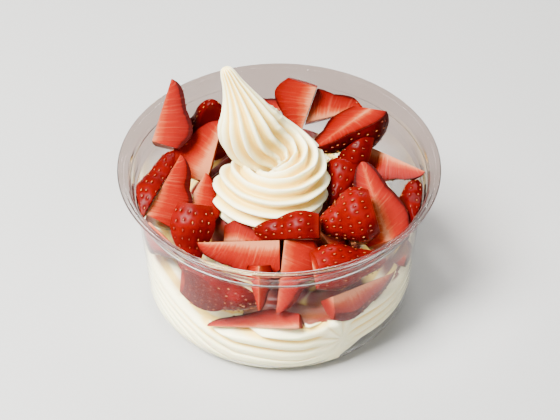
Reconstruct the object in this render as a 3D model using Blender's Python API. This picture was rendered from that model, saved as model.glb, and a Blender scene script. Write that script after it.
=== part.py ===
"""Frozen yogurt cup: a clear cup, a bed of soft serve with a piped swirl, and cut strawberries.

All sizes are in millimetres and are turned into metres when a mesh is made.  +Z is up, the cup
stands on z = 0 with its axis on the origin, and the front of the cup faces -Y.
"""

import math

import bmesh
import bpy
from mathutils import Matrix, Vector

MM = 0.001
CLEARANCE = 0.3            # air left between neighbouring solids

# --- cup: thin clear tub, revolved ---------------------------------------------------------
CUP_SEGMENTS = 48
WALL = 0.6                 # sheet thickness
BASE_R = 41.5              # flat the cup stands on
CORNER_R = 8.2             # round between base and wall
STEP_R, STEP_Z = 52.4, 48.2    # top of the tapered wall, where the collar steps out
COLLAR_R, COLLAR_Z = 53.2, 49.1
LIP_R, LIP_Z = 55.7, 58.7      # inner edge of the flared rim
RIM_R, RIM_Z = 58.5, 60.0      # outer edge of the rim

# --- soft serve bed --------------------------------------------------------------------------
BED_SEGMENTS = 48
BED_WALL_Z = 24.0          # usual height of the bed against the wall
BED_CROWN_Z = 42.0         # height of the bed under the swirl
BED_CROWN_R = 16.0         # the crown is level out to here
BED_RIDGE = 1.1            # depth of the piped ridges on the bed
HOLLOW_DEG = -38.0         # direction of the air pocket low in the front right corner
HOLLOW_SPREAD = 26.0       # degrees from its middle to where it closes
HOLLOW_DEPTH = 7.0

# --- piped swirl -------------------------------------------------------------------------------
SWIRL_X, SWIRL_Y = -3.0, 1.0   # axis the rope is coiled about
ROPE_R = 11.6              # outer radius of the rope, over its ridges
RIDGES = 14                # points of the star nozzle
RIDGE_DEPTH = 1.4
COIL_START, COIL_END = 140.0, 450.0    # degrees round the swirl axis, anticlockwise
COIL_START_Z, COIL_END_Z = 45.5, 56.0
COIL_R_START, COIL_R_END = 10.6, 9.4
COIL_STEPS = 21
COIL_CORE = 1.6            # how softly the rope's inner side bunches up at the axis
# centre of the pulled-up peak and the rope's radius there, from its foot to the tip
PEAK = (
    ((-4.0, 4.0, 49.0), 9.0),
    ((-7.0, 8.5, 58.0), 11.6),
    ((-9.5, 9.0, 64.0), 12.6),
    ((-11.0, 9.5, 69.5), 12.4),
    ((-12.3, 10.3, 74.0), 10.4),
    ((-13.8, 11.3, 79.0), 7.4),
    ((-15.6, 12.6, 84.0), 5.0),
    ((-17.4, 13.9, 89.0), 3.1),
    ((-18.6, 14.7, 92.6), 2.0),
)
PEAK_TIP = (-19.0, 15.0, 94.0)

# --- strawberries ------------------------------------------------------------------------------
BERRY_STATIONS = 7         # rings from the leaf end to the tip
BERRY_SIDES = 6            # facets round the skin
SPAN = {"quarter": 90.0, "half": 180.0}
SHARP_DEG = 35.0           # edges bent more than this stay sharp, the rest shade round
FACING = Vector((0.0, -1.0, 1.0)).normalized()    # rolls are measured from this direction
# name, cut, leaf-end point of the core, tip point, berry radius, roll of the skin's middle.
# From the top of the pile down: where two would overlap, the later one gives way.
BERRIES = (
    ("strawberry_left_rim_wedge", "quarter", (-47, 17, 56), (-40, 35, 71), 13, 135),
    ("strawberry_left_of_peak", "quarter", (-27, 10, 42), (-21, 26, 58), 15, -135),
    ("strawberry_left_wedge", "quarter", (-48, -13, 47), (-36, 7, 58), 14, 135),
    ("strawberry_front_left_skin", "quarter", (-30, -11, 50), (-33, -28, 31), 11, 0),
    ("strawberry_front_wedge", "quarter", (0, -29, 49), (-29, -28, 47), 13, -135),
    ("strawberry_front_skin", "quarter", (15, -23, 49), (-9, -21, 46), 9, 0),
    ("strawberry_right_seeded", "half", (34, -18, 53), (14, -21, 48), 10, 0),
    ("strawberry_right_half", "half", (39, -25, 45), (30, 3, 58), 9.5, 180),
    ("strawberry_back_right_half", "half", (34, 31, 60), (13, 11, 58), 12, -120),
    ("strawberry_back_upright", "quarter", (14, 42, 61), (7, 31, 44), 14, 135),
    ("strawberry_right_rim_wedge", "quarter", (34, 17, 53), (53, 1, 55), 10, 135),
    ("strawberry_front_upright", "quarter", (2, -28, 50), (-1, -48, 32), 13, -135),
    ("strawberry_back_wedge", "quarter", (6, 36, 48), (33, 42, 51), 12, -135),
    ("strawberry_right_back_half", "half", (34, 14, 53), (18, 17, 55), 9, 0),
    ("strawberry_right_of_swirl", "half", (26, 10, 51), (19, -7, 45), 8, 0),
    ("strawberry_front_right_long", "half", (12, -38, 43), (38, -29, 40), 8, 0),
    ("strawberry_window_wedge", "quarter", (19, -45, 37), (42, -30, 35), 13, 135),
    ("strawberry_window_slice", "quarter", (7, -50, 26), (-26, -43, 20), 6.5, 135),
    ("strawberry_window_skin", "half", (-34, -35, 38), (-7, -45, 34), 10, 45),
    ("strawberry_window_tip", "quarter", (-7, -40, 47), (-7, -50, 35), 7, 180),
    ("strawberry_right_wall_half", "half", (47, -17, 42), (50, 2, 50), 8, 0),
    ("strawberry_back_left_half", "half", (-27, 35, 38), (-25, 33, 63), 10, 0),
    ("strawberry_left_wall_half", "half", (-49, -12, 42), (-39, 15, 53), 8, -60),
    ("strawberry_tucked_left", "quarter", (-35, -10, 46), (-27, 5, 51), 12, 135),
    ("strawberry_front_tucked", "quarter", (-20, -22, 40), (-3, -24, 41), 9, -135),
    ("strawberry_front_small", "quarter", (14, -21, 46), (24, -34, 41), 10, 180),
    ("strawberry_front_right_tucked", "quarter", (22, -25, 43), (42, -24, 43), 10, -135),
    ("strawberry_left_wall_bit", "quarter", (-47, -14, 44), (-35, -27, 41), 9, 135),
    ("strawberry_back_small", "quarter", (-14, 43, 42), (4, 46, 49), 9, -135),
    ("strawberry_window_right_bit", "quarter", (46, -22, 36), (46, -8, 32), 7, 180),
)


def clear_scene():
    for item in list(bpy.data.objects):
        bpy.data.objects.remove(item)


def material(name, colour, roughness=0.4, transmission=0.0):
    made = bpy.data.materials.new(name)
    made.use_nodes = True
    shader = made.node_tree.nodes["Principled BSDF"]
    shader.inputs["Base Color"].default_value = (*colour, 1.0)
    shader.inputs["Roughness"].default_value = roughness
    shader.inputs["Transmission Weight"].default_value = transmission
    return made


def new_object(name, mesh, mat):
    """Link a triangulated, outward-facing copy of a bmesh as an object, in metres."""
    bmesh.ops.triangulate(mesh, faces=mesh.faces[:])
    bmesh.ops.recalc_face_normals(mesh, faces=mesh.faces[:])
    bmesh.ops.scale(mesh, vec=(MM, MM, MM), verts=mesh.verts[:])
    data = bpy.data.meshes.new(name)
    mesh.to_mesh(data)
    mesh.free()
    made = bpy.data.objects.new(name, data)
    bpy.context.collection.objects.link(made)
    data.materials.append(mat)
    return made


def loft(rings, start=None, end=None):
    """Close a row of equal rings into a solid.  Each end is a point, or its own ring capped."""
    mesh = bmesh.new()
    rows = [[mesh.verts.new(point) for point in ring] for ring in rings]
    count = len(rows[0])
    for low, high in zip(rows, rows[1:]):
        for i in range(count):
            j = (i + 1) % count
            mesh.faces.new((low[i], low[j], high[j], high[i]))
    for row, pole in ((rows[0], start), (rows[-1], end)):
        if pole is None:
            mesh.faces.new(row)
            continue
        tip = mesh.verts.new(pole)
        for i in range(count):
            mesh.faces.new((row[i], row[(i + 1) % count], tip))
    return mesh


# --- cup -----------------------------------------------------------------------------------

def round_end_angle():
    """Angle on the corner round where the straight wall leaves it."""
    dx, dz = STEP_R - BASE_R, STEP_Z - CORNER_R
    return math.atan2(dz, dx) - math.acos(CORNER_R / math.hypot(dx, dz))


def wall_r(z, inset=0.0):
    """Radius of the cup's outside at a height, or of a surface inside it by an even inset.
    The collar is taken as a plain flare, which stays inside its step."""
    corner = CORNER_R - inset
    low_r = BASE_R + corner * math.cos(round_end_angle())
    low_z = CORNER_R + corner * math.sin(round_end_angle())
    if z < low_z:
        return BASE_R + math.sqrt(max(corner ** 2 - (z - CORNER_R) ** 2, 0.0))
    if z < STEP_Z:
        return low_r + (STEP_R - inset - low_r) * (z - low_z) / (STEP_Z - low_z)
    share = min(max((z - COLLAR_Z) / (LIP_Z - COLLAR_Z), 0.0), 1.0)
    return STEP_R + (LIP_R - 0.8 - STEP_R) * share - inset


def cup_profile():
    """Radius and height round the cup's section: up the outside, over the rim, down the inside."""
    arc = [math.radians(-90) + (round_end_angle() + math.radians(90)) * i / 5 for i in range(6)]
    outside = [(BASE_R + CORNER_R * math.cos(a), CORNER_R + CORNER_R * math.sin(a)) for a in arc]
    outside += [(STEP_R, STEP_Z), (COLLAR_R, COLLAR_Z), (LIP_R - 0.7, LIP_Z - 1.6)]
    outside += [(LIP_R + 0.1, LIP_Z - 0.7), (RIM_R - 0.5, RIM_Z - 0.9), (RIM_R, RIM_Z - 0.4)]
    inside = [(RIM_R - 0.3, RIM_Z), (LIP_R, LIP_Z), (LIP_R - 0.9, LIP_Z - 0.8)]
    inside += [(COLLAR_R - WALL, COLLAR_Z + 0.2), (STEP_R - WALL, STEP_Z + 0.2)]
    inner_r = CORNER_R - WALL
    inside += [(BASE_R + inner_r * math.cos(a), CORNER_R + inner_r * math.sin(a))
               for a in reversed(arc)]
    return outside + inside


def make_cup():
    rings = []
    for i in range(CUP_SEGMENTS):
        turn = 2.0 * math.pi * i / CUP_SEGMENTS
        rings.append([(r * math.cos(turn), r * math.sin(turn), z) for r, z in cup_profile()])
    mesh = bmesh.new()
    rows = [[mesh.verts.new(point) for point in ring] for ring in rings]
    count = len(rows[0])
    for i, row in enumerate(rows):
        ahead = rows[(i + 1) % CUP_SEGMENTS]
        for j in range(count - 1):
            mesh.faces.new((row[j], ahead[j], ahead[j + 1], row[j + 1]))
    for j, height in ((0, 0.0), (count - 1, WALL)):
        centre = mesh.verts.new((0.0, 0.0, height))
        for i, row in enumerate(rows):
            mesh.faces.new((row[j], rows[(i + 1) % CUP_SEGMENTS][j], centre))
    return new_object("cup", mesh, material("clear_plastic", (0.85, 0.87, 0.88), 0.08, 0.9))


# --- soft serve -------------------------------------------------------------------------------

def angle_apart(a, b):
    return abs((a - b + 180.0) % 360.0 - 180.0)


def bed_wall_z(turn):
    """Height of the bed at the wall: heaped at the back, climbing left, dipping before the front."""
    heap = 13.0 * math.exp(-(angle_apart(turn, 90.0) / 45.0) ** 2)
    climb = 5.0 * math.exp(-(angle_apart(turn, -170.0) / 30.0) ** 2)
    dip = -5.0 * math.exp(-(angle_apart(turn, -124.0) / 14.0) ** 2)
    swell = 2.0 * math.exp(-(angle_apart(turn, -88.0) / 16.0) ** 2)
    return BED_WALL_Z + heap + climb + dip + swell


def hollow(turn, z):
    """How far the bed stands back from the wall in the air pocket."""
    across = max(1.0 - (angle_apart(turn, HOLLOW_DEG) / HOLLOW_SPREAD) ** 2, 0.0)
    up = max(1.0 - (z / (BED_WALL_Z - 3.0)) ** 2, 0.0)
    return HOLLOW_DEPTH * math.sqrt(across) * math.sqrt(up)


def bed_side_r(turn, z):
    return wall_r(z, WALL + CLEARANCE) - hollow(turn, z)


def bed_rings():
    """Rings of the bed from the middle of its floor, out, up the wall and in over its top."""
    floor_z = WALL + CLEARANCE
    turns = [360.0 * i / BED_SEGMENTS - 180.0 for i in range(BED_SEGMENTS)]
    side = [0.0, 0.05, 0.16, 0.4, 0.7, 1.0]
    rings = []
    for share in side:
        ring = []
        for turn in turns:
            z = floor_z + share * (bed_wall_z(turn) - floor_z)
            ring.append((bed_side_r(turn, z), turn, z))
        rings.append(ring)
    for share in (0.82, 0.64, 0.46, 0.30):
        ring = []
        for turn in turns:
            edge = bed_side_r(turn, bed_wall_z(turn))
            r = BED_CROWN_R + (edge - BED_CROWN_R) * (share - 0.30) / 0.70
            rise = 0.5 + 0.5 * math.cos(math.pi * (share - 0.30) / 0.70)
            wave = BED_RIDGE * math.cos(math.radians(6 * turn) + 9.0 * share)
            z = bed_wall_z(turn) + (BED_CROWN_Z - bed_wall_z(turn)) * rise
            ring.append((r, turn, z + wave * (1.0 - rise)))
        rings.append(ring)
    return [[(r * math.cos(math.radians(t)), r * math.sin(math.radians(t)), z)
             for r, t, z in ring] for ring in rings]


def star(index):
    """Depth of the rope's section below its ridges, at one of two points a ridge."""
    return 0.0 if index % 2 == 0 else RIDGE_DEPTH


def coil_rings():
    """Sections of the coiled rope, each in its own upright half-plane through the swirl axis,
    and the section centres."""
    rings = []
    centres = []
    for step in range(COIL_STEPS):
        share = step / (COIL_STEPS - 1)
        turn = math.radians(COIL_START + (COIL_END - COIL_START) * share)
        centre_r = COIL_R_START + (COIL_R_END - COIL_R_START) * share
        centre_z = COIL_START_Z + (COIL_END_Z - COIL_START_Z) * share ** 1.4
        swell = min(0.75 + 2.0 * share, 1.0, 0.35 + 3.5 * (1.0 - share))
        ring = []
        for i in range(2 * RIDGES):
            angle = math.pi * i / RIDGES
            size = (ROPE_R - star(i)) * swell
            r = centre_r + size * math.cos(angle)
            r = 0.5 * (r + math.hypot(r, COIL_CORE))
            z = centre_z + size * math.sin(angle)
            ring.append((SWIRL_X + r * math.cos(turn), SWIRL_Y + r * math.sin(turn), z))
        rings.append(ring)
        centres.append((SWIRL_X + centre_r * math.cos(turn),
                        SWIRL_Y + centre_r * math.sin(turn), centre_z))
    return rings, centres


def peak_rings():
    """Ridged sections square to the peak's centre line, from its foot to near the tip."""
    centres = [Vector(point) for point, _ in PEAK] + [Vector(PEAK_TIP)]
    rings = []
    for k, (_, radius) in enumerate(PEAK):
        along = (centres[k + 1] - centres[max(k - 1, 0)]).normalized()
        side = Vector((1.0, 0.0, 0.0))
        side = (side - along * side.dot(along)).normalized()
        other = along.cross(side)
        ring = []
        for i in range(2 * RIDGES):
            angle = math.pi * i / RIDGES
            size = radius * (1.0 - star(i) / ROPE_R)
            ring.append(centres[k] + side * size * math.cos(angle) + other * size * math.sin(angle))
        rings.append(ring)
    return rings


def combine(target, cutter, operation):
    """Apply one exact Boolean to the target and drop the cutter."""
    cutter.hide_render = True
    cutter.display_type = "WIRE"
    step = target.modifiers.new("combine", "BOOLEAN")
    step.operation = operation
    step.solver = "EXACT"
    step.object = cutter
    depsgraph = bpy.context.evaluated_depsgraph_get()
    result = bpy.data.meshes.new_from_object(target.evaluated_get(depsgraph))
    target.modifiers.clear()
    target.data = result
    bpy.data.objects.remove(cutter)


def keep_largest(target):
    """Delete loose crumbs that the Booleans leave, so that the object stays one body."""
    mesh = bmesh.new()
    mesh.from_mesh(target.data)
    waiting = set(mesh.verts)
    bodies = []
    while waiting:
        stack = [waiting.pop()]
        body = set(stack)
        while stack:
            for edge in stack.pop().link_edges:
                for vert in edge.verts:
                    if vert in waiting:
                        waiting.remove(vert)
                        body.add(vert)
                        stack.append(vert)
        bodies.append(body)
    largest = max(bodies, key=len)
    crumbs = [vert for vert in mesh.verts if vert not in largest]
    bmesh.ops.delete(mesh, geom=crumbs, context="VERTS")
    bmesh.ops.triangulate(mesh, faces=mesh.faces[:])
    bmesh.ops.recalc_face_normals(mesh, faces=mesh.faces[:])
    mesh.to_mesh(target.data)
    mesh.free()


def make_yogurt():
    cream = material("frozen_yogurt", (0.93, 0.87, 0.74), 0.45)
    yogurt = new_object("frozen_yogurt",
                        loft(bed_rings(), (0.0, 0.0, WALL + CLEARANCE), (0.0, 0.0, BED_CROWN_Z)),
                        cream)
    rings, centres = coil_rings()
    combine(yogurt, new_object("coil", loft(rings, centres[0], centres[-1]), cream), "UNION")
    combine(yogurt, new_object("peak", loft(peak_rings(), PEAK[0][0], PEAK_TIP), cream), "UNION")
    return yogurt


# --- strawberries -------------------------------------------------------------------------------

def berry_r(share, radius):
    """Radius of a whole strawberry at a share of its length, from the leaf end to the tip."""
    shoulder = 0.80 + 0.26 * math.sin(math.pi * min(share / 0.62, 1.0))
    return radius * shoulder * math.sqrt(max(1.0 - share ** 2.4, 0.0))


def berry_mesh(cut, leaf_end, tip, radius, roll):
    """A wedge of a strawberry: its core lies along one edge, its skin is the curved side."""
    base, point = Vector(leaf_end), Vector(tip)
    along = (point - base).normalized()
    skin = (FACING - along * FACING.dot(along)).normalized()
    skin = Matrix.Rotation(math.radians(roll), 3, along) @ skin
    across = along.cross(skin)
    span = math.radians(SPAN[cut])
    rings = []
    for k in range(BERRY_STATIONS):
        share = 0.97 * math.sin(0.5 * math.pi * k / (BERRY_STATIONS - 1))
        core = base + (point - base) * share
        r = berry_r(share, radius)
        ring = [core]
        for i in range(BERRY_SIDES + 1):
            angle = span * (i / BERRY_SIDES - 0.5)
            ring.append(core + skin * r * math.cos(angle) + across * r * math.sin(angle))
        rings.append([inside_wall(place) for place in ring])
    return loft(rings, None, inside_wall(point))


def inside_wall(place):
    """Press a point that would cross the cup's wall back to just inside it."""
    r = math.hypot(place.x, place.y)
    limit = wall_r(place.z, WALL + CLEARANCE + 0.1)
    if place.z > RIM_Z or r <= limit:
        return place
    return Vector((place.x * limit / r, place.y * limit / r, place.z))


def overlap(a, b):
    """How far two pieces overlap the way they overlap least, that way, and where the first ends."""
    best = None
    for axis in [f.normal for f in a.faces] + [-f.normal for f in b.faces]:
        high = max(axis.dot(v.co) for v in a.verts)
        low = min(axis.dot(v.co) for v in b.verts)
        if best is None or high - low < best[0]:
            best = (high - low, axis.copy(), high)
    return best


def trim(mesh, plane_point, normal):
    """Cut away what lies beyond a plane and close the piece again with a flat face."""
    geometry = mesh.verts[:] + mesh.edges[:] + mesh.faces[:]
    cut = bmesh.ops.bisect_plane(mesh, geom=geometry, dist=1e-5, plane_co=plane_point,
                                 plane_no=normal, clear_outer=True)
    rim = [item for item in cut["geom_cut"] if isinstance(item, bmesh.types.BMEdge)]
    if rim:
        bmesh.ops.edgeloop_fill(mesh, edges=rim)
    bmesh.ops.recalc_face_normals(mesh, faces=mesh.faces[:])


def settle(meshes):
    """Where two pieces overlap, the lower one is flattened against the upper one's side."""
    names = list(meshes)
    for mesh in meshes.values():
        bmesh.ops.recalc_face_normals(mesh, faces=mesh.faces[:])
        mesh.normal_update()
    for i, first in enumerate(names):
        for second in names[i + 1:]:
            depth, axis, high = overlap(meshes[first], meshes[second])
            if depth > -CLEARANCE:
                trim(meshes[second], axis * (high + CLEARANCE), -axis)
                print(f"{second} gives {depth + CLEARANCE:.1f} mm to {first}")


def grown(name, source):
    """A copy of a piece, larger all round by the clearance, to cut its seat in the soft serve."""
    mesh = bmesh.new()
    mesh.from_mesh(source.data)
    mesh.normal_update()
    for vert in mesh.verts:
        vert.co += vert.normal * (CLEARANCE + 0.1) * MM
    data = bpy.data.meshes.new(name)
    mesh.to_mesh(data)
    mesh.free()
    made = bpy.data.objects.new(name, data)
    bpy.context.collection.objects.link(made)
    return made


def make_berries():
    flesh = material("strawberry", (0.72, 0.06, 0.03), 0.3)
    meshes = {name: berry_mesh(*shape) for name, *shape in BERRIES}
    settle(meshes)
    return [new_object(name, mesh, flesh) for name, mesh in meshes.items()]


def main():
    clear_scene()
    make_cup()
    yogurt = make_yogurt()
    for berry in make_berries():
        combine(yogurt, grown("seat", berry), "DIFFERENCE")
    keep_largest(yogurt)
    for item in bpy.data.objects:
        item.data.shade_smooth()
        item.data.set_sharp_from_angle(angle=math.radians(SHARP_DEG))
        print(item.name, len(item.data.polygons))


main()
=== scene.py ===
# %% [markdown]
# # A frozen yogurt cup, built as a reusable part
# The finished object is a clear tub of soft serve with a piped swirl and cut strawberries heaped
# round it. The solid model is loaded first and stays fixed: it gives the size, the place of every
# piece and the collision shapes. Everything below gives those pieces their real surface.

# %% Load the solid model
import math

import bmesh
import bpy
import numpy as np
from mathutils import Matrix, Vector, noise
from mathutils.bvhtree import BVHTree


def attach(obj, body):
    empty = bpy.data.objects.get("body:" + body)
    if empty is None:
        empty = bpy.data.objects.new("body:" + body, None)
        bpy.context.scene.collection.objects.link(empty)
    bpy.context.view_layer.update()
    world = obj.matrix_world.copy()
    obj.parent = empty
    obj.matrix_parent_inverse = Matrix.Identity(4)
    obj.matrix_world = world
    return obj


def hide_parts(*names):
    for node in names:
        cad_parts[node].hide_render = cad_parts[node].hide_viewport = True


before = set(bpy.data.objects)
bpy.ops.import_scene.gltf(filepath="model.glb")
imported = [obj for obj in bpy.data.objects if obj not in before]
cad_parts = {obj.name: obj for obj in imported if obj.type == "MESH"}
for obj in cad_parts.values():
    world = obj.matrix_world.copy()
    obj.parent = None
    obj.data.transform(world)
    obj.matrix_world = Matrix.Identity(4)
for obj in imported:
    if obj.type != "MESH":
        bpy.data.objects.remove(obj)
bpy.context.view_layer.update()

print("solid pieces:", len(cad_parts))

# %% [markdown]
# ## Units and small helpers
# Food is easier to think about in millimetres, so shapes are worked out in millimetres and turned
# into metres at one place, when a mesh is made. Faces are wound so that they point outwards, and
# points that fall on each other, as at a pole or a seam, are joined.

# %% Mesh helpers
MM = 0.001


def mesh_object(name, points, faces, join=0.0005):
    """Make a smooth-shaded mesh object from points in millimetres."""
    data = bpy.data.meshes.new(name)
    data.from_pydata((np.asarray(points, float) * MM).tolist(), [], faces)
    work = bmesh.new()
    work.from_mesh(data)
    bmesh.ops.remove_doubles(work, verts=work.verts[:], dist=join * MM)
    work.to_mesh(data)
    work.free()
    data.shade_smooth()
    made = bpy.data.objects.new(name, data)
    bpy.context.scene.collection.objects.link(made)
    return made


def grid_faces(rows, columns, start=0, closed=False, flip=False):
    """Quads between neighbouring rows of a grid of points, closed round its columns if asked."""
    faces = []
    for i in range(rows - 1):
        for j in range(columns if closed else columns - 1):
            k = (j + 1) % columns
            a, b = start + i * columns + j, start + i * columns + k
            quad = (a, b, b + columns, a + columns)
            faces.append(quad[::-1] if flip else quad)
    return faces


def keep(piece, slot, *nodes):
    """Hand a finished piece over: it rides on the cup and stands for its solid pieces."""
    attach(piece, "root")
    if nodes:
        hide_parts(*nodes)
    tris = sum(len(p.vertices) - 2 for p in piece.data.polygons)
    print(f"{piece.name}: {tris} triangles")


def store(piece, name, values, kind="FLOAT"):
    """Write one value a point into a named attribute that a material can read."""
    layer = piece.data.attributes.new(name, kind, "POINT")
    field = "value" if kind == "FLOAT" else "vector"
    layer.data.foreach_set(field, np.asarray(values, np.float32).ravel())


def points_of(piece):
    """The points of a mesh object in millimetres."""
    flat = np.zeros(len(piece.data.vertices) * 3)
    piece.data.vertices.foreach_get("co", flat)
    return flat.reshape(-1, 3) / MM


# %% [markdown]
# ## Writing node trees as sums
# Shader maths turns into a web of small nodes. Wrapping a socket in a class with the ordinary
# operators lets a mask be written as a formula, and one method makes every other kind of node.

# %% Node helpers
class Field:
    """A socket that takes part in sums: each operation adds the Math node it needs."""

    def __init__(self, board, socket):
        self.board = board
        self.socket = socket

    def math(self, operation, *values, clamp=False):
        settings = {"operation": operation, "use_clamp": clamp}
        return self.board.node("ShaderNodeMath", settings, list(values))

    def __add__(self, other):
        return self.math("ADD", self, other)

    def __radd__(self, other):
        return self.math("ADD", other, self)

    def __sub__(self, other):
        return self.math("SUBTRACT", self, other)

    def __rsub__(self, other):
        return self.math("SUBTRACT", other, self)

    def __mul__(self, other):
        return self.math("MULTIPLY", self, other)

    def __rmul__(self, other):
        return self.math("MULTIPLY", other, self)

    def __pow__(self, other):
        return self.math("POWER", self, other)

    def cos(self):
        return self.math("COSINE", self)

    def clamped(self):
        return self.math("ADD", self, 0.0, clamp=True)

    def between(self, low, high):
        """0 below low, 1 above high, and a soft step from one to the other."""
        settings = {"interpolation_type": "SMOOTHSTEP"}
        return self.board.node("ShaderNodeMapRange", settings, [self, low, high])


class Board:
    """A node tree with one way to add a node: its type, its settings, then its sockets."""

    def __init__(self, tree):
        self.tree = tree
        tree.nodes.clear()

    def node(self, kind, settings=None, sockets=None, out=0):
        made = self.tree.nodes.new(kind)
        for key, value in (settings or {}).items():
            if key == "stops":
                self.set_stops(made.color_ramp, value)
            else:
                setattr(made, key, value)
        named = enumerate(sockets) if isinstance(sockets, list) else (sockets or {}).items()
        for key, value in named:
            self.feed(made.inputs[key], value)
        return Field(self, made.outputs[out]) if len(made.outputs) else made

    def feed(self, socket, value):
        if isinstance(value, Field):
            self.tree.links.new(value.socket, socket)
        elif value is not None:
            socket.default_value = value

    def set_stops(self, ramp, stops):
        while len(ramp.elements) < len(stops):
            ramp.elements.new(1.0)
        for element, (place, colour) in zip(ramp.elements, stops):
            element.position = place
            element.color = (*colour, 1.0)


class Finish(Board):
    """The node tree of one material."""

    def __init__(self, name):
        self.material = bpy.data.materials.new(name)
        self.material.use_nodes = True
        super().__init__(self.material.node_tree)

    def attribute(self, name, out=2):
        """A value stored on the mesh: output 2 is a number, 1 a vector."""
        return self.node("ShaderNodeAttribute", {"attribute_name": name}, out=out)

    def object_place(self):
        return self.node("ShaderNodeTexCoord", out=3)

    def noise(self, place, scale, detail=2.0, roughness=0.5):
        sockets = {"Vector": place, "Scale": scale, "Detail": detail, "Roughness": roughness}
        return self.node("ShaderNodeTexNoise", {"noise_dimensions": "3D"}, sockets)

    def blend(self, share, first, second):
        sockets = {0: share, 6: first, 7: second}
        return self.node("ShaderNodeMix", {"data_type": "RGBA"}, sockets, out=2)

    def ramp(self, share, stops):
        return self.node("ShaderNodeValToRGB", {"stops": stops}, [share])

    def vector(self, x, y, z):
        return self.node("ShaderNodeCombineXYZ", None, [x, y, z])

    def bump(self, height, strength, distance, under=None):
        sockets = {"Height": height, "Strength": strength, "Distance": distance, "Normal": under}
        return self.node("ShaderNodeBump", None, sockets)

    def finish(self, surface):
        self.node("ShaderNodeOutputMaterial", None, {"Surface": surface})
        return self.material


print("helpers ready")

# %% [markdown]
# ## Table, lights and camera
# Food is looked at from the height of somebody about to eat it, here a little over forty
# degrees, with a long lens so that the tub stays round. A pale table and large soft lamps keep the
# shadows open. One lamp is a narrow strip: clear plastic has almost no colour of its own and is
# only seen by such bright lines along its rim.

# %% Table and lights
def area_lamp(name, place, target, size, power, colour=(1.0, 1.0, 1.0)):
    lamp = bpy.data.lights.new(name, "AREA")
    lamp.shape = "RECTANGLE"
    lamp.size, lamp.size_y = size
    lamp.energy = power
    lamp.color = colour
    made = bpy.data.objects.new(name, lamp)
    made.location = place
    made.rotation_euler = (Vector(target) - Vector(place)).to_track_quat("-Z", "Y").to_euler()
    bpy.context.scene.collection.objects.link(made)
    return made


def make_table():
    paper = Finish("table_paper")
    grain = paper.noise(paper.object_place(), 900.0, 3.0)
    tone = paper.blend(grain, (0.36, 0.36, 0.356, 1.0), (0.39, 0.39, 0.386, 1.0))
    shader = paper.node("ShaderNodeBsdfPrincipled", None, {"Base Color": tone, "Roughness": 0.9})
    shader.board.finish(shader)
    half = 1500.0
    corners = [(-half, -half, 0), (half, -half, 0), (half, half, 0), (-half, half, 0)]
    table = mesh_object("table", corners, [(0, 1, 2, 3)])
    table.data.materials.append(paper.material)


def make_world():
    world = bpy.data.worlds.new("studio")
    world.use_nodes = True
    sky = Board(world.node_tree)
    look = sky.node("ShaderNodeTexCoord", out=0)
    height = sky.node("ShaderNodeSeparateXYZ", None, [look], out=2)
    tone = sky.node("ShaderNodeValToRGB", {"stops": [
        (0.0, (0.40, 0.40, 0.40)), (0.12, (0.10, 0.09, 0.09)), (0.45, (0.30, 0.29, 0.29)),
        (0.85, (0.5, 0.5, 0.5))]}, [height])
    sky.node("ShaderNodeOutputWorld", None, [sky.node("ShaderNodeBackground", None, [tone, 0.7])])
    bpy.context.scene.world = world


make_table()
make_world()
area_lamp("key", (-0.37, -0.17, 0.66), (0, 0, 0.03), (0.34, 0.34), 40.0, (1.0, 0.985, 0.95))
area_lamp("fill", (0.40, -0.50, 0.62), (0, 0, 0.04), (0.50, 0.50), 3.5)
area_lamp("back_strip", (0.10, 0.70, 0.55), (0, 0, 0.05), (0.60, 0.12), 6.0)

# %% Camera
CAMERA_PLACE, CAMERA_TARGET = (0.0003, -0.5162, 0.5098), (0.0003, 0.0, 0.037)


def make_camera():
    lens = bpy.data.cameras.new("camera")
    lens.sensor_width = 36.0
    lens.lens = 121.73
    made = bpy.data.objects.new("camera", lens)
    made.location = CAMERA_PLACE
    look = Vector(CAMERA_TARGET) - made.location
    made.rotation_euler = look.to_track_quat("-Z", "Y").to_euler()
    bpy.context.scene.collection.objects.link(made)
    bpy.context.scene.camera = made


make_camera()
print("camera at", tuple(round(v, 3) for v in bpy.context.scene.camera.location))

# %% [markdown]
# ## The tub
# A dessert tub is pressed from one thin clear sheet: a flat base with a round corner, a wall that
# leans out, a small step with a collar above it that takes a lid, and a flat rolled rim. It is a
# turned shape, so its section is drawn once, up the outside and down the inside, and swept round
# the axis. Small radii matter more than anything else here, because each one catches a bright line.

# %% Section of the tub
WALL = 0.6
BASE_R = 41.5
CORNER_R = 8.2
STEP_R, STEP_Z = 52.4, 48.2
COLLAR_R, COLLAR_Z = 53.2, 49.1
LIP_R, LIP_Z = 55.7, 58.7
RIM_R, RIM_Z = 58.5, 60.0
WALL_RINGS = (12.0, 20.0, 28.0, 36.0, 44.0, 47.8)   # heights of the rings up the straight wall


def round_end_angle():
    """Angle on the corner round where the straight wall leaves it."""
    dx, dz = STEP_R - BASE_R, STEP_Z - CORNER_R
    return math.atan2(dz, dx) - math.acos(CORNER_R / math.hypot(dx, dz))


def wall_r(z, inset=0.0):
    """Radius of the tub's outside at each height, or of a surface an even inset inside it."""
    z = np.asarray(z, float)
    corner = CORNER_R - inset
    low_r = BASE_R + corner * math.cos(round_end_angle())
    low_z = CORNER_R + corner * math.sin(round_end_angle())
    round_r = BASE_R + np.sqrt(np.maximum(corner ** 2 - (z - CORNER_R) ** 2, 0.0))
    straight = low_r + (STEP_R - inset - low_r) * (z - low_z) / (STEP_Z - low_z)
    share = np.clip((z - COLLAR_Z) / (LIP_Z - COLLAR_Z), 0.0, 1.0)
    flare = STEP_R + (LIP_R - 0.8 - STEP_R) * share - inset
    return np.where(z < low_z, round_r, np.where(z < STEP_Z, straight, flare))


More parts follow.
